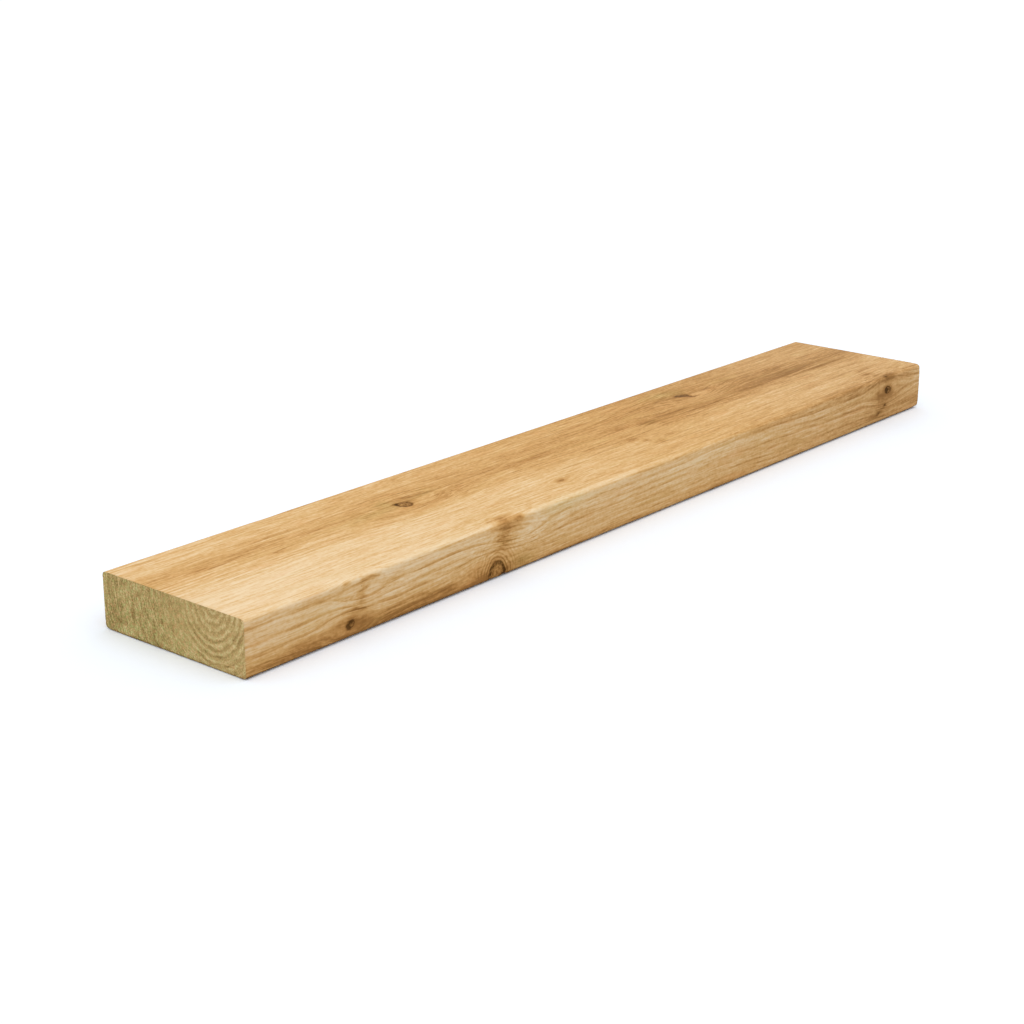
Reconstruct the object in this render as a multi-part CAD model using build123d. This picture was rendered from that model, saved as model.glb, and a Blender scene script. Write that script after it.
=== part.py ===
from build123d import *
import os

# One plank of planed softwood, lying flat on its wide face.
# The origin is on the floor, under the middle of the plank.
# +X runs along the grain, +Y across the width and +Z up through the thickness.

# Size of the planed stock, in millimetres
length = 920.0
width = 150.0
thickness = 45.0

# Round that the planer leaves along each of the four long arrises
arris_radius = 3.0


def planed_section():
    """Section across the grain: a rectangle that stands on the floor, with its corners eased."""
    outline = RectangleRounded(width, thickness, arris_radius)
    return Plane.YZ * Pos(0, thickness / 2) * outline


def sawn_plank():
    """The section run along the grain, and sawn square to it at both ends."""
    plank = extrude(planed_section(), amount=length / 2, both=True)
    plank.label = "plank"
    return plank


os.makedirs("parts", exist_ok=True)
export_step(sawn_plank(), "parts/plank.step")
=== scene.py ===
import math
from dataclasses import dataclass

import bmesh
import bpy
from bpy.props import FloatProperty, FloatVectorProperty, IntProperty, PointerProperty
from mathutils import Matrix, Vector, noise


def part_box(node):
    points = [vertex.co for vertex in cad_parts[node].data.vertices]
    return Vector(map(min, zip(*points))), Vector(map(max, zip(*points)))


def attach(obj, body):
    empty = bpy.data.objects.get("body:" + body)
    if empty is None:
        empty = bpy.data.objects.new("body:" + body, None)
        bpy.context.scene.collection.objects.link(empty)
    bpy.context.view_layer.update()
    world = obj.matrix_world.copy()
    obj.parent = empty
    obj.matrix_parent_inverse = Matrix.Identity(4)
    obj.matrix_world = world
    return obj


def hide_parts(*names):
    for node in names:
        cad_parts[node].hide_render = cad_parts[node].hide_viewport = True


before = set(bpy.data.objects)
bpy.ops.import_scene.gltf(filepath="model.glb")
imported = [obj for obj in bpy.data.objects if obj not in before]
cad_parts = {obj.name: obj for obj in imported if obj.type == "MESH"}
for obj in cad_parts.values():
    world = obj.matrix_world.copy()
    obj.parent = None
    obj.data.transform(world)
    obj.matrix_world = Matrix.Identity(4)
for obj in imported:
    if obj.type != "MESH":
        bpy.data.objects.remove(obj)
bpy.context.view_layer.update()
plank_low, plank_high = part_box("plank")

bl_info = {
    "name": "Timber plank",
    "version": (1, 0, 0),
    "blender": (4, 5, 0),
    "location": "3D View > Sidebar > Timber",
    "description": "Makes a planed softwood plank with knots, growth rings and sawn ends",
    "category": "Object",
}

MM = 0.001
FLOOR_REACH = 20.0  # metres from the middle of the floor to its edge

# The pith, y and z in millimetres. It lies at the top of the end at x = -460, then rises out.
PITH = (-43.0, 45.5)
PITH_DRIFT = (-7.0, 15.0)
PITH_DRIFTS_FROM, PITH_DRIFTS_TO = -460.0, -160.0
FIRST_YEAR = 6.4  # radius of the first ring, in millimetres

# Tints that the wood takes on in places, as factors of red, green and blue
RUDDY = (1.10, 0.93, 0.88)
OLIVE = (0.94, 1.04, 0.86)
BLEACHED = (1.01, 1.07, 1.26)
END_GREEN = (0.80, 1.05, 0.90)
END_PINK = (1.10, 0.94, 0.94)

# Heights of the bump, and depths that are cut into the mesh
FIBRE_BUMP = 0.2 * MM
SAW_BUMP = 0.25 * MM
KNOT_GROOVE = 0.22 * MM
KNOT_DISH = 0.10 * MM
SAW_TEAR = 0.07 * MM
SPLINTER = 0.45 * MM
DENT_WIDTH = 5.0  # how far a dent reaches round its arris, in millimetres


def shade(red, green, blue):
    """The linear colour of a paint chip given in the usual 0 to 255 steps."""
    linear = []
    for step in (red, green, blue):
        level = step / 255
        linear.append(level / 12.92 if level <= 0.04045 else ((level + 0.055) / 1.055) ** 2.4)
    return tuple(linear)


# Features of this one plank. Places are in millimetres in the plank's own frame:
# x along the grain from the middle, y across the width from the middle, z up from the floor.


@dataclass
class Knot:
    """A branch that the saw cut through. The grain parts to pass it."""

    heart: tuple  # where the middle of the branch leaves the timber
    grows: tuple  # the way the branch grew, outwards
    radius: float  # of the branch
    sweep: float  # how far from the branch the grain still turns aside
    lean: float  # how far the branch carries the grain to one side
    depth: float  # how far the branch runs into the timber
    darkness: float  # of the cut branch, from 0 for straw to 1 for bark
    swirl: float  # how clear the rings in the wood around the branch are


@dataclass
class Stain:
    """A patch of colour that follows the grain: a stain, or along the front arris a painted
    highlight. It fades out over its reach in x, y and z.
    """

    middle: tuple
    reach: tuple
    strength: float


# A branch with a radius below 1 ends under the surface and only bends the grain.
KNOTS = (
    # On the top and on the side at y = -75
    Knot((-206.5, 13.0, 45), (0.40, -0.35, 0.85), 5.8, 20, 9, 26, 0.78, 0.15),
    Knot((-196.5, -75, 4.8), (0, -0.93, -0.37), 8.8, 17, 0, 36, 0.72, 1.0),
    Knot((-172, -75, 42), (0, -0.75, 0.66), 0.3, 15, 0, 22, 0.80, 0.0),
    Knot((-357, -75, 11), (0.62, -0.78, 0.25), 2.2, 12, 0, 30, 0.80, 0.3),
    Knot((-346, -75, 37), (0, -0.75, 0.66), 0.2, 10, 0, 20, 0.40, 0.0),
    Knot((-75, -43, 45), (0.6, 0.1, 0.8), 0.4, 7, 0, 12, 0.70, 0.0),
    Knot((207, 36, 45), (0.2, 0.3, 0.93), 3.4, 18, 7, 24, 0.64, 0.8),
    Knot((397.5, -75, 31), (0.75, -0.65, -0.1), 3.5, 14, 0, 26, 0.84, 0.35),
    # On the bottom and on the side at y = 75
    Knot((-186, -28, 0), (0, -0.15, -0.99), 8.0, 19, 4, 40, 0.66, 0.8),
    Knot((-214, 75, 23), (0.55, 0.82, -0.15), 4.6, 15, 0, 30, 0.72, 0.8),
    Knot((205, 75, 30), (-0.70, 0.70, 0.2), 2.8, 12, 0, 26, 0.84, 0.4),
    Knot((388, -12, 0), (0, 0.1, -0.99), 6.5, 17, 3, 30, 0.72, 0.7),
    Knot((62, 26, 0), (0, 0.2, -0.98), 3.2, 13, 0, 16, 0.88, 0.4),
)

BROWN_STAINS = (
    # On the top
    Stain((284, 3.8, 45), (27, 2.0, 12), 1.1),
    Stain((338, 4.8, 45), (24, 2.1, 12), 1.4),
    Stain((393, -1.5, 45), (42, 1.5, 12), 1.5),
    Stain((350, 12, 45), (72, 6, 12), 0.55),
    Stain((352, 29, 45), (34, 3.0, 12), 0.45),
    Stain((20, 13, 45), (110, 9, 12), 0.15),
    Stain((215, 50, 45), (100, 22, 12), 0.30),
    Stain((385, -45, 45), (80, 30, 10), 0.42),
    Stain((110, 6.5, 45), (12, 3.6, 8), 1.3),
    Stain((77, 12.2, 45), (10, 1.3, 8), 1.4),
    Stain((152, 8.5, 45), (22, 2.4, 9), 0.8),
    Stain((196, 0.5, 45), (34, 1.8, 9), 0.50),
    Stain((55, -15, 45), (5, 4.5, 6), 0.5),
    Stain((63, -27, 45), (4.5, 6, 6), 0.8),
    Stain((73, -36, 45), (9, 4.2, 6), 1.15),
    Stain((97, -31, 45), (10, 3.4, 6), 0.9),
    Stain((-349, 6, 45), (7, 3.0, 8), 0.65),
    Stain((-395, 28, 45), (90, 12, 12), 0.35),
    Stain((-75, -43, 45), (7, 3.5, 6), 1.2),
    Stain((391, -57, 45), (7, 9, 7), 0.9),
    # On the side at y = -75
    Stain((330, -73, 45), (130, 4, 4.5), 0.5),
    Stain((-218, -75, 6), (13, 9, 5), 1.2),
    Stain((-300, -75, 2.5), (125, 12, 9), 1.15),
    Stain((-430, -75, 7), (55, 12, 8.5), 0.80),
    Stain((-425, -75, 34), (40, 9, 9), 0.25),
    Stain((372, -75, 36), (80, 9, 9), 0.40),
    Stain((381, -75, 32), (2.8, 5, 8), 0.55),
    Stain((374, -75, 7.5), (18, 6, 2.6), 0.8),
    Stain((-280, -75, 3), (70, 12, 9), 0.6),
    Stain((-346, -75, 34), (5, 7, 9), 1.05),
    Stain((-350, -75, 22), (8, 7, 7), 0.80),
    Stain((-360, -74.5, 42.5), (3.5, 3, 1.8), 0.7),
    Stain((385, -75, 18), (110, 12, 26), 0.45),
    Stain((-184, -75, 40), (14, 8, 10), 1.15),
    Stain((-171, -75, 43), (5, 5, 5), 0.8),
    Stain((-186, -70, 46), (12, 6, 5), 0.9),
    Stain((-188, -75, 29), (10, 7, 9), 1.1),
    Stain((400, -74, 44.5), (9, 6, 4), 1.5),
    Stain((391, -75, 27), (16, 9, 12), 0.9),
    Stain((393.5, -75, 16), (4.0, 5, 2.2), 1.2),
    Stain((381, -75, 10.5), (4.5, 5, 2.2), 1.2),
    Stain((-350, -75, 12), (16, 9, 7), 0.9),
    # On the side at y = 75
    Stain((-200, 75, 45), (400, 2.5, 4), 0.35),
    Stain((-206, 75, 20), (26, 9, 9), 0.6),
    Stain((60, 75, 40), (120, 9, 8), 0.5),
    # On the bottom
    Stain((-200, -34, 0), (60, 16, 9), 0.6),
    Stain((120, 20, 0), (160, 14, 9), 0.6),
)

BARK_STAINS = (
    # On the top
    Stain((-213, 18, 45), (3.0, 2.2, 4), 0.7),
    Stain((201.5, 40.5, 45), (2.8, 2.2, 4), 0.9),
    Stain((205, 36, 45), (2.8, 2.4, 4), 1.3),
    Stain((209, 33.5, 45), (2.6, 2.4, 4), 1.5),
    Stain((211, 29.5, 45), (2.4, 2.2, 4), 1.1),
    Stain((-75, -43, 45), (3, 1.5, 4), 0.4),
    # On the side at y = -75
    Stain((-188.5, -75, 3.6), (3.4, 5, 2.8), 0.7),
    Stain((-359.5, -75, 9.2), (2.4, 5, 1.9), 1.1),
    Stain((-355.5, -75, 12.4), (2.6, 5, 1.3), 0.9),
    Stain((-342, -75, 35), (3.4, 5, 1.2), 0.60),
    Stain((398, -75, 31), (2.2, 5, 2.2), 0.65),
    Stain((393.5, -75, 16), (2.4, 5, 1.4), 0.6),
    Stain((381, -75, 10.5), (2.8, 5, 1.6), 0.35),
    Stain((396, -73.5, 45), (3.5, 2, 2), 0.6),
    Stain((-169.5, -74.5, 44), (3.4, 2.6, 2.0), 0.65),
    # On the side at y = 75
    Stain((-217, 75, 24), (3.4, 5, 2.4), 0.8),
    # On the bottom
    Stain((390, -10, 0), (5, 2.4, 5), 0.8),
)

PALE_STAINS_AND_HIGHLIGHTS = (
    # On the top
    # Paler along the front edge of the top by the near end: partly pale wood, partly the painted
    # highlight of the front arris
    Stain((-400, -66, 45), (150, 10, 5), 0.4),
    Stain((385, 48, 45), (90, 22, 10), 0.6),
    Stain((62, 14, 45), (85, 15, 10), 0.95),
    Stain((-90, 12, 45), (70, 14, 10), 0.45),
    Stain((-80, 50, 45), (90, 20, 10), 0.30),
    Stain((200, 17, 45), (60, 9, 9), 0.75),
    Stain((222, 10, 45), (34, 5, 8), 0.60),
    Stain((-368, 31, 45), (34, 8, 8), 0.55),
    Stain((224, 31, 45), (11, 6, 7), 1.1),
    Stain((190, 54, 45), (12, 6, 7), 0.9),
    # On the side at y = -75
    # Painted highlight along the rounded front arris, partly pale wood
    Stain((-170, -73.5, 44.5), (270, 3.2, 3.2), 1.0),
    Stain((-250, -73, 44), (38, 9, 8), 0.5),
    Stain((-40, -75, 37), (260, 9, 9), 0.6),
    # Painted highlight on the top just inside the front arris
    Stain((-60, -71.5, 45), (110, 2.2, 3), 0.5),
    Stain((-280, -75, 35), (60, 9, 9), 0.5),
    Stain((-361, -75, 43), (13, 9, 7), 0.8),
    Stain((-150, -75, 33), (16, 9, 10), 0.5),
    Stain((20, -75, 24), (260, 9, 12), 0.45),
)

GREEN_STAINS = (
    # On the top
    Stain((-218, 26, 45), (8, 8, 8), 0.45),
    Stain((-240, 14, 45), (40, 7, 8), 0.30),
    Stain((-180, 20, 45), (16, 4, 8), 0.30),
    Stain((196, 52, 45), (24, 9, 8), 0.45),
    Stain((210, 44, 45), (14, 5, 8), 0.15),
    # On the side at y = -75
    Stain((-165, -75, 7), (14, 7, 5), 0.45),
    Stain((-110, -75, 40), (25, 7, 6), 0.25),
)

DENTS = (
    # where along the plank, which arris (y, z), how long and how deep
    ((-168, -75, 45), 5.0, 0.5),
    ((-60, -75, 45), 9.0, 0.2),
    ((150, -75, 45), 12.0, 0.25),
    ((398, -75, 45), 7.0, 0.5),
    ((-300, 75, 45), 14.0, 0.3),
    ((260, 75, 0), 18.0, 0.6),
    ((-459, 75, 0), 4.0, 0.2),
    ((-459, -75, 45), 4.0, 0.3),
    ((459, -75, 45), 5.0, 0.7),
    ((459, -75, 0), 5.0, 0.8),
)


class PlankSizes(bpy.types.PropertyGroup):
    """Sizes of the plank's mesh and of its grain."""

    arris: FloatProperty(
        name="Arris", description="Radius of the eased long arrises", default=3 * MM, unit="LENGTH"
    )
    pitch: FloatProperty(
        name="Pitch", description="Mesh spacing across the grain", default=1.08 * MM, unit="LENGTH"
    )
    stations: IntProperty(
        name="Stations", description="Mesh rows along the grain", default=230, min=8
    )
    ring_width: FloatProperty(
        name="Ring width", description="Growth in one year", default=9.6 * MM, unit="LENGTH"
    )
    relief: FloatProperty(
        name="Relief", description="How deep the soft grain is worn",
        default=0.07 * MM, unit="LENGTH",
    )
    crown: FloatProperty(
        name="Crown", description="How far the rims of the bottom face stand off the floor",
        default=0.9 * MM, unit="LENGTH",
    )


class WoodColours(bpy.types.PropertyGroup):
    """Colours of the timber."""

    straw: FloatVectorProperty(
        name="Straw", description="The palest spring growth", subtype="COLOR",
        default=shade(250, 224, 184),
    )
    cream: FloatVectorProperty(
        name="Cream", description="Common spring growth", subtype="COLOR",
        default=shade(240, 204, 152),
    )
    honey: FloatVectorProperty(
        name="Honey", description="Older growth and the warm band", subtype="COLOR",
        default=shade(225, 179, 116),
    )
    tan: FloatVectorProperty(
        name="Tan", description="The dark line that ends each year", subtype="COLOR",
        default=shade(200, 149, 87),
    )
    brown: FloatVectorProperty(
        name="Brown", description="Stained wood and the middle of a knot", subtype="COLOR",
        default=shade(158, 111, 57),
    )
    bark: FloatVectorProperty(
        name="Bark", description="Rim and cracks of a knot", subtype="COLOR",
        default=shade(84, 54, 14),
    )
    green: FloatVectorProperty(
        name="Green", description="Tint of the preservative that the timber took up",
        subtype="COLOR", default=(0.84, 0.98, 0.90),
    )
    end_pale: FloatVectorProperty(
        name="End pale", description="Sawn end, torn fibres that catch the light", subtype="COLOR",
        default=shade(252, 228, 170),
    )
    end_tan: FloatVectorProperty(
        name="End tan", description="Sawn end, common growth", subtype="COLOR",
        default=shade(216, 182, 120),
    )
    end_dark: FloatVectorProperty(
        name="End dark", description="Sawn end, ring lines and saw marks", subtype="COLOR",
        default=shade(140, 106, 56),
    )


class StageLooks(bpy.types.PropertyGroup):
    """Camera, lamps and floor."""

    heading: FloatProperty(
        name="Heading", description="Way the camera looks, turned from the grain", unit="ROTATION",
        default=math.radians(40.214),
    )
    pitch: FloatProperty(
        name="Pitch", description="How far the camera looks down", unit="ROTATION",
        default=math.radians(18.475),
    )
    camera_place: FloatVectorProperty(
        name="Camera place", description="Where the camera stands", subtype="TRANSLATION",
        default=(-1.3059, -1.0282, 0.5436),
    )
    lens: FloatProperty(
        name="Lens", description="Focal length in millimetres on a 36 mm frame", default=70.35
    )
    room_light: FloatProperty(
        name="Room light", description="Strength of the light from all round", default=0.78
    )
    soft_light: FloatProperty(
        name="Soft light", description="Strength of the soft light from above", default=0.63
    )
    light_from: FloatVectorProperty(
        name="Light from", description="Where the soft light comes from", subtype="DIRECTION",
        default=(-0.12, -0.42, 1.0),
    )
    light_spread: FloatProperty(
        name="Light spread", description="How wide the soft light is", unit="ROTATION",
        default=math.radians(60),
    )
    floor_shade: FloatProperty(
        name="Floor shade", description="Share of the light that the floor gives back",
        subtype="FACTOR", default=0.5,
    )
    floor_seen: FloatVectorProperty(
        name="Floor seen", description="Colour of the floor to the camera", subtype="COLOR",
        default=(1.07, 1.135, 1.22), soft_max=2.0,
    )


class Steps:
    """Adds the nodes of one tree, so that a pattern reads as a list of steps."""

    def __init__(self, tree):
        self.tree = tree
        tree.nodes.clear()

    def node(self, kind, **settings):
        """A new node of this kind, with these settings."""
        made = self.tree.nodes.new(kind)
        for name, value in settings.items():
            setattr(made, name, value)
        return made

    def feed(self, socket, value):
        """Joins a socket to another one, or writes a plain value on it."""
        if isinstance(value, bpy.types.NodeSocket):
            self.tree.links.new(value, socket)
        elif value is not None:
            socket.default_value = value

    def math(self, operation, a, b=None, c=None):
        """One sum on plain numbers."""
        made = self.node("ShaderNodeMath", operation=operation)
        for socket, value in zip(made.inputs, (a, b, c)):
            self.feed(socket, value)
        return made.outputs[0]

    def vector(self, operation, a, b=None, scale=None):
        """One sum on vectors. A dot product or a length comes out as a plain number."""
        made = self.node("ShaderNodeVectorMath", operation=operation)
        self.feed(made.inputs[0], a)
        self.feed(made.inputs[1], b)
        self.feed(made.inputs[3], scale)
        single = operation in ("DOT_PRODUCT", "LENGTH")
        return made.outputs["Value" if single else "Vector"]

    def parts(self, vector):
        """The x, y and z of a vector."""
        made = self.node("ShaderNodeSeparateXYZ")
        self.feed(made.inputs[0], vector)
        return made.outputs[0], made.outputs[1], made.outputs[2]

    def joined(self, x, y, z):
        """The vector with this x, y and z."""
        made = self.node("ShaderNodeCombineXYZ")
        for socket, value in zip(made.inputs, (x, y, z)):
            self.feed(socket, value)
        return made.outputs[0]

    def between(self, value, low, high, to_low=0.0, to_high=1.0, smooth=True):
        """The value's way from low to high, held within the two ends."""
        made = self.node(
            "ShaderNodeMapRange", interpolation_type="SMOOTHSTEP" if smooth else "LINEAR"
        )
        for name, given in (
            ("Value", value), ("From Min", low), ("From Max", high),
            ("To Min", to_low), ("To Max", to_high),
        ):
            self.feed(made.inputs[name], given)
        return made.outputs["Result"]

    def noise(self, where, stretch, detail, roughness, shift):
        """Noise with so many cells to a millimetre each way, as a value and as a colour."""
        mapping = self.node("ShaderNodeMapping", vector_type="POINT")
        self.feed(mapping.inputs["Vector"], where)
        mapping.inputs["Scale"].default_value = stretch
        mapping.inputs["Location"].default_value = shift
        made = self.node("ShaderNodeTexNoise", noise_dimensions="3D")
        self.feed(made.inputs["Vector"], mapping.outputs[0])
        made.inputs["Scale"].default_value = 1.0
        made.inputs["Detail"].default_value = detail
        made.inputs["Roughness"].default_value = roughness
        return made.outputs

    def mottle(self, where, stretch, low=0.0, high=1.0, detail=2.0, roughness=0.5,
               shift=(0, 0, 0)):
        """Noise that mostly lies from low to high."""
        made = self.noise(where, stretch, detail, roughness, shift)[0]
        return self.between(made, 0.25, 0.75, low, high, smooth=False)

    def waver(self, where, stretch, reach, shift):
        """A way to move a place by up to about its reach in millimetres."""
        made = self.noise(where, stretch, detail=3.0, roughness=0.5, shift=shift)[1]
        # The noise mostly stays within a quarter of its middle
        made = self.vector("SUBTRACT", made, (0.5, 0.5, 0.5))
        return self.vector("MULTIPLY", made, tuple(4 * r for r in reach))

    def threads(self, where, stretch, width, shift):
        """Thin lines that run the way the noise is stretched, 1 on the line and 0 off it."""
        made = self.noise(where, stretch, detail=1.0, roughness=0.5, shift=shift)[0]
        off = self.math("ABSOLUTE", self.math("SUBTRACT", made, 0.5))
        return self.between(off, width, 0.0)

    def ramp(self, value, stops):
        """A colour ramp. Stops are pairs of a place from 0 to 1 and a colour."""
        made = self.node("ShaderNodeValToRGB")
        elements = made.color_ramp.elements
        while len(elements) < len(stops):
            elements.new(0.5)
        for element, (place, colour) in zip(elements, stops):
            element.position = place
            element.color = (*colour, 1.0)
        self.feed(made.inputs[0], value)
        return made.outputs[0]

    def blend(self, amount, a, b, mode="MIX"):
        """Mixes two colours. Inputs 6 and 7 and output 2 are the node's colour sockets."""
        made = self.node("ShaderNodeMix", data_type="RGBA", blend_type=mode, clamp_factor=True)
        self.feed(made.inputs["Factor"], amount)
        self.feed(made.inputs[6], (*a, 1.0) if isinstance(a, tuple) else a)
        self.feed(made.inputs[7], (*b, 1.0) if isinstance(b, tuple) else b)
        return made.outputs[2]

    def mix(self, amount, a, b):
        """The value a where the amount is 0, and b where it is 1."""
        return self.math("MULTIPLY_ADD", amount, self.math("SUBTRACT", b, a), a)

    def times(self, *values):
        """All the values multiplied."""
        whole = values[0]
        for value in values[1:]:
            whole = self.math("MULTIPLY", whole, value)
        return whole

    def total(self, *values):
        """All the values added up."""
        whole = values[0]
        for value in values[1:]:
            whole = self.math("ADD", whole, value)
        return whole


def new_group(name, inputs, outputs):
    """An empty node group with these sockets, and the steps, inputs and outputs to fill it with."""
    tree = bpy.data.node_groups.new(name, "ShaderNodeTree")
    for label, kind in inputs:
        tree.interface.new_socket(name=label, in_out="INPUT", socket_type=kind)
    for label, kind in outputs:
        tree.interface.new_socket(name=label, in_out="OUTPUT", socket_type=kind)
    steps = Steps(tree)
    given = steps.node("NodeGroupInput").outputs
    wanted = steps.node("NodeGroupOutput").inputs
    return tree, steps, given, wanted


def knot_group():
    """Adds one branch to those before it: its push on the grain, and what is nearest a place."""
    number, vector = "NodeSocketFloat", "NodeSocketVector"
    tree, steps, given, wanted = new_group(
        "Knot",
        (("Place", vector), ("Wobble", number), ("Heart", vector), ("Grows", vector),
         ("Across", vector), ("Outward", vector), ("Radius", number), ("Sweep", number),
         ("Lean", number), ("Depth", number), ("Darkness", number), ("Swirl", number),
         ("Push so far", vector), ("Reach so far", number), ("Darkness so far", number),
         ("Swirl so far", number)),
        (("Push", vector), ("Reach", number), ("Darkness", number), ("Swirl", number)),
    )
    slope = 0.38  # the grain turns aside well before the branch and comes back well after it
    away = steps.vector("SUBTRACT", given["Place"], given["Heart"])
    height = steps.vector("DOT_PRODUCT", away, given["Grows"])
    beside = steps.vector("DOT_PRODUCT", away, given["Across"])
    # The branch is there down to its depth
    inner = steps.math("MULTIPLY", given["Depth"], -1.0)
    level = steps.vector("DOT_PRODUCT", away, given["Outward"])
    presence = steps.between(level, inner, steps.math("MULTIPLY", inner, 0.6))

    # It holds the grain away from itself, less and less over its sweep
    eased = steps.math("MULTIPLY", steps.parts(away)[0], slope)
    spread = steps.total(steps.times(eased, eased), steps.times(beside, beside))
    hold = steps.math("DIVIDE", spread, steps.times(given["Sweep"], given["Sweep"]))
    hold = steps.math("DIVIDE", presence, steps.math("MULTIPLY_ADD", hold, hold, 1.0))
    carried = steps.math("ADD", beside, given["Lean"])
    push = steps.math("MULTIPLY", steps.times(carried, hold), -1.0)
    push = steps.vector("SCALE", given["Across"], scale=push)
    steps.feed(wanted["Push"], steps.vector("ADD", given["Push so far"], push))

    # How far away its middle line is, counted in its own radius
    square = steps.vector("DOT_PRODUCT", away, away)
    square = steps.math("SUBTRACT", square, steps.times(height, height))
    distance = steps.math("SQRT", steps.math("MAXIMUM", square, 0.0))
    reach = steps.math("DIVIDE", steps.times(distance, given["Wobble"]), given["Radius"])
    reach = steps.math("DIVIDE", reach, steps.math("MAXIMUM", presence, 0.001))
    nearer = steps.math("LESS_THAN", reach, given["Reach so far"])
    steps.feed(wanted["Reach"], steps.math("MINIMUM", reach, given["Reach so far"]))
    for name in ("Darkness", "Swirl"):
        steps.feed(wanted[name], steps.mix(nearer, given[name + " so far"], given[name]))
    return tree


def stain_group():
    """Adds one stain or painted highlight patch to those before it. It fades out from its middle
    over its reach.
    """
    number, vector = "NodeSocketFloat", "NodeSocketVector"
    tree, steps, given, wanted = new_group(
        "Stain",
        (("Place", vector), ("Middle", vector), ("Reach", vector), ("Strength", number),
         ("So far", number)),
        (("Amount", number),),
    )
    away = steps.vector("DIVIDE", steps.vector("SUBTRACT", given["Place"], given["Middle"]),
                        given["Reach"])
    square = steps.vector("DOT_PRODUCT", away, away)
    fade = steps.math("EXPONENT", steps.math("MULTIPLY", square, -1.0))
    steps.feed(wanted["Amount"], steps.total(steps.times(fade, given["Strength"]),
                                             given["So far"]))
    return tree


def growth_group(sizes):
    """The tree's growth, the same through the whole solid: rings, fibres, knots, stains and the
    painted highlight along the front arris.
    """
    number, vector = "NodeSocketFloat", "NodeSocketVector"
    tree, steps, given, wanted = new_group(
        "Growth",
        (),
        (("Place", vector), ("Grain place", vector), ("Ring radius", number), ("Late", number),
         ("Year tone", number), ("Knot reach", number), ("Knot darkness", number),
         ("Knot swirl", number), ("Brown", number), ("Bark", number), ("Pale and highlight", number),
         ("Green", number)),
    )
    texture = steps.node("ShaderNodeTexCoord")
    place = steps.vector("SCALE", texture.outputs["Object"], scale=1 / MM)

    wobble = steps.mottle(place, (0.09, 0.09, 0.09), 0.87, 1.13, 2.0, 0.5)
    branch = knot_group()
    push, reach, darkness, swirl = (0.0, 0.0, 0.0), 1000.0, 0.0, 0.0
    for knot in KNOTS:
        grows = Vector(knot.grows).normalized()
        across = Vector((1, 0, 0)).cross(grows).normalized()
        group = steps.node("ShaderNodeGroup", node_tree=branch)
        for name, value in (
            ("Place", place), ("Wobble", wobble), ("Heart", knot.heart), ("Grows", grows),
            ("Across", across), ("Outward", across.cross((1, 0, 0))), ("Radius", knot.radius),
            ("Sweep", knot.sweep), ("Lean", knot.lean), ("Depth", knot.depth),
            ("Darkness", knot.darkness), ("Swirl", knot.swirl), ("Push so far", push),
            ("Reach so far", reach), ("Darkness so far", darkness), ("Swirl so far", swirl),
        ):
            steps.feed(group.inputs[name], value)
        push, reach, darkness, swirl = group.outputs

    grain = steps.vector("ADD", place, push)
    grain = steps.vector("ADD", grain, steps.waver(grain, (0.0045, 0.014, 0.014), (0, 3.2, 3.2),
                                                   shift=(3, 1, 4)))

    x, y, z = steps.parts(grain)
    out = steps.between(x, PITH_DRIFTS_FROM, PITH_DRIFTS_TO)
    pith_y = steps.math("MULTIPLY_ADD", out, PITH_DRIFT[0], PITH[0])
    pith_z = steps.math("MULTIPLY_ADD", out, PITH_DRIFT[1], PITH[1])
    radius = steps.vector("LENGTH", steps.joined(0.0, steps.math("SUBTRACT", y, pith_y),
                                                 steps.math("SUBTRACT", z, pith_z)))
    years = steps.math("DIVIDE", steps.math("SUBTRACT", radius, FIRST_YEAR),
                       sizes.ring_width / MM)
    chance = steps.node("ShaderNodeTexWhiteNoise", noise_dimensions="1D")
    steps.feed(chance.inputs["W"], steps.math("FLOOR", years))
    strength, tone, false_ring = steps.parts(chance.outputs["Color"])

    def late_line(part, start):
        """Darkens slowly towards the end of the year, then stops short."""
        rise = steps.between(part, start, 0.93)
        return steps.times(rise, rise, steps.between(part, 1.0, 0.95))

    late = steps.times(late_line(steps.math("FRACT", years), 0.62),
                       steps.math("MULTIPLY_ADD", strength, 0.6, 0.4))
    middle = late_line(steps.math("FRACT", steps.math("ADD", years, 0.48)), 0.65)
    late = steps.math("MAXIMUM", late, steps.times(middle, false_ring, 0.7))
    # No ring line is as dark all along
    patchy = steps.mottle(grain, (0.009, 0.06, 0.06), 0.1, 1.2, 3.0, 0.6, (3, 1, 8))
    broken = steps.mottle(grain, (0.03, 0.5, 0.5), 0.55, 1.25, 2.0, 0.6, (1, 3, 5))
    late = steps.times(late, steps.math("MAXIMUM", patchy, 0.0), broken)

    ragged = steps.vector("ADD", place, steps.waver(grain, (0.05, 0.3, 0.3), (5, 1.4, 1.4),
                                                    shift=(7, 7, 2)))
    stain = stain_group()

    def stains(kinds):
        amount = 0.0
        for kind in kinds:
            group = steps.node("ShaderNodeGroup", node_tree=stain)
            for name, value in (("Place", ragged), ("Middle", kind.middle),
                                ("Reach", kind.reach), ("Strength", kind.strength),
                                ("So far", amount)):
                steps.feed(group.inputs[name], value)
            amount = group.outputs["Amount"]
        return amount

    for name, value in (
        ("Place", place), ("Grain place", grain), ("Ring radius", radius), ("Late", late),
        ("Year tone", tone), ("Knot reach", reach), ("Knot darkness", darkness),
        ("Knot swirl", swirl), ("Brown", stains(BROWN_STAINS)), ("Bark", stains(BARK_STAINS)),
        ("Pale and highlight", stains(PALE_STAINS_AND_HIGHLIGHTS)), ("Green", stains(GREEN_STAINS)),
    ):
        steps.feed(wanted[name], value)
    return tree


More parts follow.
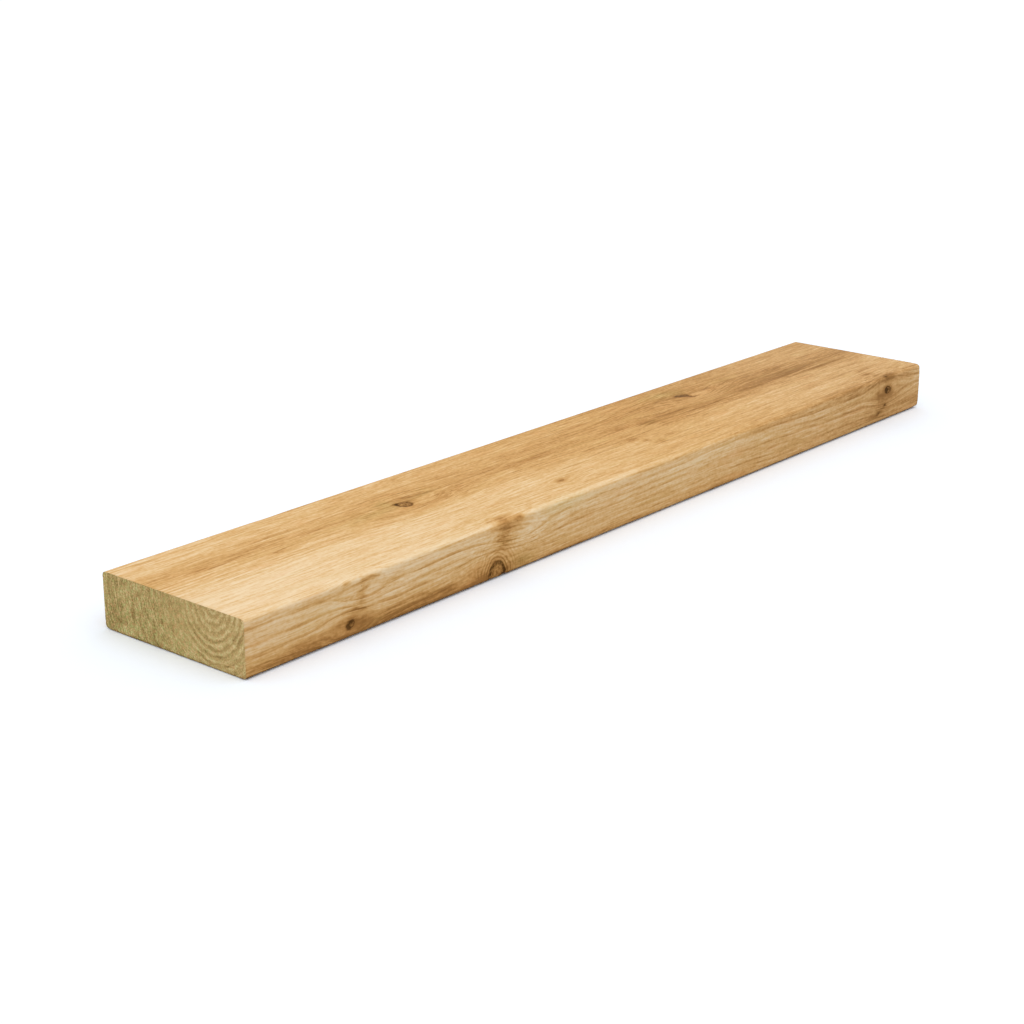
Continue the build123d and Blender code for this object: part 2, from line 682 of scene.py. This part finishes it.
def start_material(name, growth):
    """A material with its output, its shader and the growth pattern ready to use."""
    material = bpy.data.materials.new(name)
    material.use_nodes = True
    steps = Steps(material.node_tree)
    output = steps.node("ShaderNodeOutputMaterial")
    shader = steps.node("ShaderNodeBsdfPrincipled")
    steps.feed(output.inputs["Surface"], shader.outputs[0])
    group = steps.node("ShaderNodeGroup", node_tree=growth)
    return material, steps, shader, group.outputs


def surface_relief(steps, shader, height, distance):
    """Tilts the shading as if the height, from 0 to 1, rose by the distance in metres."""
    bump = steps.node("ShaderNodeBump")
    bump.inputs["Strength"].default_value = 1.0
    bump.inputs["Distance"].default_value = distance
    steps.feed(bump.inputs["Height"], height)
    steps.feed(shader.inputs["Normal"], bump.outputs[0])


def planed_material(growth, colours):
    """The planed faces: long fibres, ring lines, knots and stains, with painted shade along the
    bottom edge and a painted highlight along the front arris.
    """
    material, steps, shader, grown = start_material("planed_softwood", growth)
    place, grain, late = grown["Place"], grown["Grain place"], grown["Late"]
    x, _, z = steps.parts(place)

    # How dark the surface is painted, from straw at 0 to bark at 1, painted shade and highlight
    # included. Everything that darkens it adds up.
    ramp_length = 130.0  # the zones run from the pith to this radius, in millimetres
    outward = steps.math("DIVIDE", grown["Ring radius"], ramp_length)
    zone = steps.ramp(outward, (
        (0.0, (0.13,) * 3), (0.26, (0.14,) * 3), (0.40, (0.29,) * 3), (0.50, (0.37,) * 3),
        (0.62, (0.34,) * 3), (0.76, (0.25,) * 3), (1.0, (0.27,) * 3),
    ))
    # Ring lines show best away from the pith, on the sides and by the near end
    clear = steps.times(steps.between(grown["Ring radius"], 14.0, 34.0),
                        steps.between(z, 44.6, 41.0, 0.30, 1.0),
                        steps.between(x, -250.0, -150.0, 1.0, 0.62))
    threads = steps.threads(grain, (0.008, 0.30, 0.30), 0.06, shift=(2, 6, 1))
    dashes = steps.mottle(grain, (0.02, 0.3, 0.3), -0.6, 1.0, 2.0, 0.6, (5, 5, 5))
    threads = steps.times(threads, steps.math("MAXIMUM", dashes, 0.0))
    broad = steps.mottle(grain, (0.004, 0.09, 0.09), -1.0, 1.0, 2.0, 0.5, (1, 4, 7))
    bundle = steps.mottle(grain, (0.014, 0.38, 0.38), -1.0, 1.0, 3.0, 0.65, (2, 6, 1))
    fibre = steps.mottle(grain, (0.045, 0.80, 0.80), -1.0, 1.0, 2.0, 0.6, (8, 3, 5))
    # Darker towards the far end, most of all on the top
    darker_toward_far_end = steps.times(steps.between(x, -420.0, 150.0, 0.0, 0.27, smooth=False),
                           steps.between(z, 34.0, 44.0, 0.42, 1.0))
    reach, darkness = grown["Knot reach"], grown["Knot darkness"]
    beyond = steps.math("SUBTRACT", reach, 1.0)
    outside = steps.math("MAXIMUM", beyond, 0.0)
    fade = steps.times(steps.math("EXPONENT", steps.math("MULTIPLY", outside, -0.75)),
                       grown["Knot swirl"])
    straight = steps.times(steps.math("MULTIPLY_ADD", fade, -0.9, 1.0),
                           steps.between(x, -220.0, 100.0, 0.90, 0.79))
    fleck = steps.mottle(place, (0.30, 0.45, 0.45), -1.0, 1.0, 1.0, 0.5, (4, 1, 7))
    # Painted shade along the bottom edge, where the plank meets the floor and the rounded arris
    # turns under
    bottom_edge_painted_shade = steps.between(z, 3.2, 0.6)
    strands = steps.total(
        steps.times(broad, 0.05),
        steps.times(bundle, 0.16),
        steps.times(fibre, 0.20),
        steps.times(threads, 0.24),
        steps.times(late, clear, 0.60),
    )
    depth = steps.total(
        zone,
        darker_toward_far_end,
        steps.times(strands, straight),
        steps.times(fleck, 0.075),
        steps.mottle(grain, (0.003, 0.02, 0.02), -0.05, 0.05, shift=(9, 2, 2)),
        steps.math("MULTIPLY_ADD", grown["Year tone"], 0.06, -0.03),
        steps.times(bottom_edge_painted_shade, 0.45),
    )
    patchy = steps.math("MULTIPLY_ADD", bundle, 0.3, 1.0)
    # Brown stains darken; pale patches and the painted highlight along the front arris lighten
    depth = steps.total(depth, steps.times(grown["Brown"], patchy, 0.26),
                        steps.times(grown["Pale and highlight"], patchy, -0.13))

    # Wood around a knot: darker close to it, with rings of its own
    near = steps.math("EXPONENT", steps.math("MULTIPLY", outside, -1.8))
    ragged = steps.mottle(place, (0.10, 0.16, 0.16), 0.45, 1.15, 3.0, 0.6, (6, 1, 6))
    turns = steps.math("SINE", steps.math("MULTIPLY_ADD", beyond, 15.5, -4.3))
    turns = steps.math("MULTIPLY_ADD", turns, 0.5, 0.5)
    rings = steps.times(turns, turns, fade, ragged)
    soaked = steps.math("MULTIPLY_ADD", darkness, 0.26, 0.02)
    depth = steps.total(depth, steps.times(near, soaked), steps.times(rings, 0.52))
    # Only a knot or bark is darker than brown
    depth = steps.math("SMOOTH_MIN", depth, 0.80, 0.25)

    # The knot itself
    inside = steps.between(reach, 1.12, 0.86)
    grit = steps.mottle(place, (0.40, 0.40, 0.40), -1.0, 1.0, 3.0, 0.6, (4, 4, 1))
    turns = steps.math("SINE", steps.math("MULTIPLY", reach, 15.0))
    branch = steps.total(darkness, steps.times(turns, 0.03), steps.times(grit, 0.22))
    depth = steps.mix(inside, depth, branch)
    rim = steps.times(steps.between(reach, 0.58, 0.84), steps.between(reach, 1.28, 1.02))
    rim = steps.times(rim, ragged, steps.math("MULTIPLY_ADD", darkness, -0.78, 0.79))
    depth = steps.total(depth, rim, steps.times(grown["Bark"], 0.4))

    straw, cream, honey = tuple(colours.straw), tuple(colours.cream), tuple(colours.honey)
    tan, brown, bark = tuple(colours.tan), tuple(colours.brown), tuple(colours.bark)
    colour = steps.ramp(depth, (
        (0.0, straw), (0.2, cream), (0.4, honey), (0.6, tan), (0.8, brown), (1.0, bark),
    ))
    hue = steps.mottle(grain, (0.02, 0.11, 0.11), -1.0, 1.0, 3.0, 0.6, (3, 8, 3))
    ruddy = tuple(c * k for c, k in zip(honey, RUDDY))
    olive = tuple(c * k for c, k in zip(honey, OLIVE))
    colour = steps.blend(steps.between(hue, 0.1, 1.0, 0.0, 0.22), colour, ruddy)
    colour = steps.blend(steps.between(hue, -0.1, -1.0, 0.0, 0.20), colour, olive)
    far = steps.times(steps.between(x, 80.0, 420.0), steps.between(z, 37.0, 44.0, 0.65, 1.0))
    colour = steps.blend(far, colour, BLEACHED, "MULTIPLY")
    colour = steps.blend(steps.times(grown["Green"], patchy, 1.3), colour, tuple(colours.green),
                         "MULTIPLY")

    steps.feed(shader.inputs["Base Color"], colour)
    gloss = steps.math("MULTIPLY_ADD", bundle, -0.05, 0.66)
    steps.feed(shader.inputs["Roughness"], steps.math("MULTIPLY_ADD", late, -0.08, gloss))
    shader.inputs["Specular IOR Level"].default_value = 0.06
    # The knots are pressed into the mesh, so the bump only has the fibres
    ridges = steps.mottle(place, (0.020, 0.34, 0.34), -1.0, 1.0, 3.0, 0.65, (2, 6, 1))
    fuzz = steps.mottle(place, (0.09, 0.75, 0.75), -1.0, 1.0, 2.0, 0.6, (8, 3, 5))
    height = steps.total(steps.times(ridges, 0.3), steps.times(fuzz, 0.3))
    surface_relief(steps, shader, height, FIBRE_BUMP)
    return material


def sawn_material(growth, colours):
    """The sawn ends: rings seen end on, torn fibres, the green of the preservative and painted
    shade along the bottom edge.
    """
    material, steps, shader, grown = start_material("sawn_end", growth)
    place, radius = grown["Place"], grown["Ring radius"]
    x, y, z = steps.parts(place)
    angle = steps.math("ARCTAN2", steps.math("SUBTRACT", z, PITH[1]),
                       steps.math("SUBTRACT", y, PITH[0]))
    # Runs round the rings, so that what follows is drawn out along them
    radian = 46.0  # counts as this many millimetres on the way round
    curled = steps.joined(x, radius, steps.times(angle, radian))
    torn = steps.mottle(curled, (0.3, 0.70, 0.24), -1.0, 1.0, 3.0, 0.7, (5, 2, 1))
    clump = steps.mottle(curled, (0.3, 0.22, 0.09), -1.0, 1.0, 2.0, 0.6, (2, 2, 7))
    speck = steps.mottle(place, (0.4, 0.75, 0.75), -1.0, 1.0, 3.0, 0.75, (1, 8, 2))
    cloud = steps.mottle(place, (0.03, 0.05, 0.06), -1.0, 1.0, 3.0, 0.6, (3, 3, 9))
    arc_spacing = 5.6  # from one clear arc to the next, in millimetres
    arcs = steps.math("MULTIPLY_ADD", clump, 1.3, radius)
    arcs = steps.math("SINE", steps.math("MULTIPLY", arcs, 2 * math.pi / arc_spacing))
    uneven = steps.mottle(curled, (0.3, 0.09, 0.035), 0.2, 1.5, 2.0, 0.6, (4, 9, 1))
    arcs = steps.times(arcs, uneven, steps.between(radius, 66.0, 38.0, 0.1, 1.0),
                       steps.between(y, -38.0, -8.0, 1.15, 0.35))
    rough = steps.between(radius, 30.0, 75.0, 0.60, 1.15)
    blotch = steps.mottle(place, (0.3, 0.13, 0.13), -1.0, 1.0, 3.0, 0.7, (6, 4, 2))
    texture = steps.total(steps.times(speck, 0.44), steps.times(torn, 0.36),
                          steps.times(clump, 0.18), steps.times(blotch, 0.18))
    depth = steps.total(
        0.45, steps.times(cloud, 0.12), steps.times(texture, rough), steps.times(arcs, 0.16),
        steps.times(grown["Late"], 0.12), steps.between(y, -60.0, 60.0, -0.06, 0.07),
        # Painted shade along the bottom edge, where the end meets the floor
        steps.times(steps.between(z, 2.2, 0.4), 0.45),
    )
    colour = steps.ramp(depth, (
        (0.0, tuple(colours.end_pale)), (0.45, tuple(colours.end_tan)),
        (1.0, tuple(colours.end_dark)),
    ))
    tint = steps.mottle(place, (0.3, 0.36, 0.36), -0.9, 1.6, 3.0, 0.75, (2, 9, 4))
    tint = steps.times(steps.math("MAXIMUM", tint, 0.0),
                       steps.between(y, -60.0, 40.0, 0.45, 1.25),
                       steps.between(z, 40.0, 0.0, 0.8, 1.15))
    green = steps.blend(1.0, colour, END_GREEN, "MULTIPLY")
    colour = steps.blend(tint, colour, green)
    flush = steps.mottle(place, (0.3, 0.22, 0.22), -1.6, 1.2, 3.0, 0.7, (7, 1, 3))
    pink = steps.blend(1.0, colour, END_PINK, "MULTIPLY")
    colour = steps.blend(flush, colour, pink)
    steps.feed(shader.inputs["Base Color"], colour)
    steps.feed(shader.inputs["Roughness"], steps.math("MULTIPLY_ADD", speck, 0.06, 0.82))
    shader.inputs["Specular IOR Level"].default_value = 0.2
    height = steps.total(steps.times(torn, 0.4), steps.times(speck, 0.4))
    surface_relief(steps, shader, height, SAW_BUMP)
    return material


def station_places(count, low, high):
    """Rows along the grain, closer together at the knots and at the sawn ends."""
    samples = 2000
    at_knot, at_end = 0.9, 2.5  # how much denser the rows are there
    density = []
    for step in range(samples):
        x = (low + (high - low) * (step + 0.5) / samples) / MM
        crowd = 1.0
        for knot in KNOTS:
            reach = 2.5 * knot.radius + 4
            crowd += at_knot * math.exp(-(((x - knot.heart[0]) / reach) ** 2))
        to_end = min(x - low / MM, high / MM - x)
        density.append(crowd + at_end * math.exp(-to_end / 5.0))
    whole = sum(density)
    places, passed, wanted = [], 0.0, 1
    for step, share in enumerate(density):
        passed += share
        while wanted <= count and passed >= whole * wanted / (count + 1):
            places.append(low + (high - low) * (step + 1) / samples)
            wanted += 1
    return places


def plank_block(sizes):
    """The planed section with eased arrises, cut into a fine net that runs with the grain."""
    size = plank_high - plank_low
    middle = (plank_high + plank_low) / 2
    block = bmesh.new()
    bmesh.ops.create_cube(block, size=1.0)
    bmesh.ops.scale(block, vec=size, verts=block.verts)
    bmesh.ops.translate(block, vec=middle, verts=block.verts)

    def runs_with_grain(edge):
        return abs(edge.verts[0].co.x - edge.verts[1].co.x) > size.x / 2

    bmesh.ops.bevel(
        block, geom=[e for e in block.edges if runs_with_grain(e)], offset=sizes.arris,
        offset_type="OFFSET", segments=5, profile=0.5, affect="EDGES", material=-1,
    )
    for axis in (1, 2):
        low, high = plank_low[axis] + sizes.arris, plank_high[axis] - sizes.arris
        cuts = round((high - low) / sizes.pitch)
        for cut in range(cuts + 1):
            point, normal = Vector(), Vector()
            point[axis] = low + (high - low) * cut / cuts
            normal[axis] = 1.0
            bmesh.ops.bisect_plane(
                block, geom=block.verts[:] + block.edges[:] + block.faces[:],
                dist=1e-6, plane_co=point, plane_no=normal,
            )
    bmesh.ops.subdivide_edges(
        block, edges=[e for e in block.edges if runs_with_grain(e)], cuts=sizes.stations
    )
    # The rows are even up to here. Each moves to its chosen place.
    inner = station_places(sizes.stations, plank_low.x, plank_high.x)
    chosen = [plank_low.x, *inner, plank_high.x]
    step = size.x / (sizes.stations + 1)
    for vertex in block.verts:
        vertex.co.x = chosen[round((vertex.co.x - plank_low.x) / step)]
    return block


def relief_depth(place, normal, sizes):
    """How far the surface lies below the planed size, in metres, at a place in millimetres."""
    x, y, z = place
    worn = 0.5 + 0.5 * noise.noise((0.012 * x, 0.55 * y, 0.55 * z))
    depth = sizes.relief * worn
    if abs(normal.x) > 0.5:
        tear = noise.noise((0.9 * x, 0.9 * y, 0.9 * z)) + noise.noise((0.1 * x, 0.3 * y, 0.3 * z))
        depth += SAW_TEAR * (1 + tear)
        splinter = noise.noise((0.7 * y, 0.7 * z, 2.0 if x > 0 else 9.0))
        at_rim = min(1.0, abs(normal.y) + abs(normal.z))
        depth += SPLINTER * max(0.0, splinter) * at_rim
    # The bottom bulges a little, so the plank stands on its middle
    rim = max((y / (plank_high.y / MM)) ** 2, (x / (plank_high.x / MM)) ** 8)
    depth += sizes.crown * max(0.0, -normal.z) * rim
    for knot in KNOTS:
        away = Vector(place) - Vector(knot.heart)
        if abs(away.x) > 3 * knot.radius:
            continue
        grows = Vector(knot.grows).normalized()
        height = away.dot(grows)
        if height < -0.6 * knot.depth:
            continue
        distance = (away - grows * height).length / knot.radius
        groove = math.exp(-(((distance - 1) / 0.18) ** 2))
        depth += KNOT_GROOVE * groove * (0.4 + knot.darkness)
        depth += KNOT_DISH * max(0.0, 1 - distance)
    for middle, length, deep in DENTS:
        away = Vector(place) - Vector(middle)
        across = math.hypot(away.y, away.z) / DENT_WIDTH
        depth += deep * MM * math.exp(-((away.x / length) ** 2) - across ** 2)
    return depth


def wear_block(block, sizes):
    """Presses the grain, knots and knocks into the surface. Nothing stands proud of the size."""
    block.normal_update()
    moves = []
    for vertex in block.verts:
        place = tuple(c / MM for c in vertex.co)
        moves.append(vertex.normal * relief_depth(place, vertex.normal, sizes))
    for vertex, move in zip(block.verts, moves):
        vertex.co -= move


def make_plank(sizes, colours):
    block = plank_block(sizes)
    for face in block.faces:
        face.material_index = 1 if abs(face.normal.x) > 0.5 else 0
        face.smooth = abs(face.normal.x) <= 0.5
    wear_block(block, sizes)
    mesh = bpy.data.meshes.new("timber_plank")
    block.to_mesh(mesh)
    block.free()
    growth = growth_group(sizes)
    mesh.materials.append(planed_material(growth, colours))
    mesh.materials.append(sawn_material(growth, colours))
    plank = bpy.data.objects.new("timber_plank", mesh)
    bpy.context.scene.collection.objects.link(plank)
    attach(plank, "root")
    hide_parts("plank")


def add_camera(looks):
    camera = bpy.data.objects.new("camera", bpy.data.cameras.new("camera"))
    camera.data.sensor_width = 36.0
    camera.data.lens = looks.lens
    camera.data.clip_start = 0.05
    camera.data.clip_end = 60.0
    camera.location = looks.camera_place
    camera.rotation_euler = (math.pi / 2 - looks.pitch, 0.0, looks.heading - math.pi / 2)
    bpy.context.scene.collection.objects.link(camera)
    bpy.context.scene.camera = camera


def seen_directly(steps):
    """1 where the camera, a reflection or a clear material looks, and 0 for the light itself."""
    path = steps.node("ShaderNodeLightPath")
    seen = steps.math("MAXIMUM", path.outputs["Is Camera Ray"], path.outputs["Is Glossy Ray"])
    return steps.math("MAXIMUM", seen, path.outputs["Is Transmission Ray"])


def add_room(looks):
    """A white backdrop that lights the plank softly from all round."""
    world = bpy.data.worlds.new("room")
    world.use_nodes = True
    bpy.context.scene.world = world
    steps = Steps(world.node_tree)
    output = steps.node("ShaderNodeOutputWorld")
    light = steps.node("ShaderNodeBackground")
    light.inputs["Color"].default_value = (1.0, 1.0, 1.0, 1.0)
    light.inputs["Strength"].default_value = looks.room_light
    backdrop = steps.node("ShaderNodeBackground")
    backdrop.inputs["Color"].default_value = (1.0, 1.0, 1.0, 1.0)
    backdrop.inputs["Strength"].default_value = 1.0
    mix = steps.node("ShaderNodeMixShader")
    steps.feed(mix.inputs[0], seen_directly(steps))
    steps.feed(mix.inputs[1], light.outputs[0])
    steps.feed(mix.inputs[2], backdrop.outputs[0])
    steps.feed(output.inputs["Surface"], mix.outputs[0])


def floor_material(looks):
    """Matt, and whiter to the camera than to the plank, so that its shadow shows on white."""
    material = bpy.data.materials.new("pale_floor")
    material.use_nodes = True
    steps = Steps(material.node_tree)
    output = steps.node("ShaderNodeOutputMaterial")
    matt = steps.node("ShaderNodeBsdfDiffuse")
    steps.feed(matt.inputs["Color"], steps.blend(
        seen_directly(steps), (looks.floor_shade,) * 3, tuple(looks.floor_seen)
    ))
    steps.feed(output.inputs["Surface"], matt.outputs[0])
    return material


def add_floor(looks):
    grid = bmesh.new()
    bmesh.ops.create_grid(grid, x_segments=1, y_segments=1, size=FLOOR_REACH)
    mesh = bpy.data.meshes.new("floor")
    grid.to_mesh(mesh)
    grid.free()
    mesh.materials.append(floor_material(looks))
    floor = bpy.data.objects.new("floor", mesh)
    bpy.context.scene.collection.objects.link(floor)


def add_lamp(looks):
    """A soft light from above, a little to the side that the camera sees."""
    lamp = bpy.data.objects.new("soft_light", bpy.data.lights.new("soft_light", "SUN"))
    lamp.data.energy = looks.soft_light
    lamp.data.angle = looks.light_spread
    lamp.rotation_euler = Vector(looks.light_from).to_track_quat("Z", "Y").to_euler()
    bpy.context.scene.collection.objects.link(lamp)


class TIMBER_OT_plank(bpy.types.Operator):
    """Make the plank, with its grain, knots, sawn ends and worn arrises"""

    bl_idname = "timber.plank"
    bl_label = "Make the plank"

    def execute(self, context):
        make_plank(context.scene.plank_sizes, context.scene.wood_colours)
        return {"FINISHED"}


class TIMBER_OT_stage(bpy.types.Operator):
    """Set the camera, the soft light and the pale floor"""

    bl_idname = "timber.stage"
    bl_label = "Set the stage"

    def execute(self, context):
        looks = context.scene.stage_looks
        add_camera(looks)
        add_room(looks)
        add_floor(looks)
        add_lamp(looks)
        context.scene.view_settings.view_transform = "Standard"
        return {"FINISHED"}


class TIMBER_PT_panel(bpy.types.Panel):
    """The plank's sizes and colours, and the buttons that make it"""

    bl_label = "Timber plank"
    bl_idname = "TIMBER_PT_panel"
    bl_space_type = "VIEW_3D"
    bl_region_type = "UI"
    bl_category = "Timber"

    def draw(self, context):
        for name in ("plank_sizes", "wood_colours", "stage_looks"):
            group = getattr(context.scene, name)
            box = self.layout.box()
            for setting in group.bl_rna.properties:
                if not setting.is_readonly and setting.identifier != "name":
                    box.prop(group, setting.identifier)
        self.layout.operator(TIMBER_OT_plank.bl_idname)
        self.layout.operator(TIMBER_OT_stage.bl_idname)


CLASSES = (
    PlankSizes, WoodColours, StageLooks, TIMBER_OT_plank, TIMBER_OT_stage, TIMBER_PT_panel,
)


def register():
    for kind in CLASSES:
        bpy.utils.register_class(kind)
    bpy.types.Scene.plank_sizes = PointerProperty(type=PlankSizes)
    bpy.types.Scene.wood_colours = PointerProperty(type=WoodColours)
    bpy.types.Scene.stage_looks = PointerProperty(type=StageLooks)


def unregister():
    del bpy.types.Scene.stage_looks
    del bpy.types.Scene.wood_colours
    del bpy.types.Scene.plank_sizes
    for kind in reversed(CLASSES):
        bpy.utils.unregister_class(kind)


def main():
    register()
    bpy.ops.timber.stage()
    bpy.ops.timber.plank()


if __name__ == "__main__":
    main()
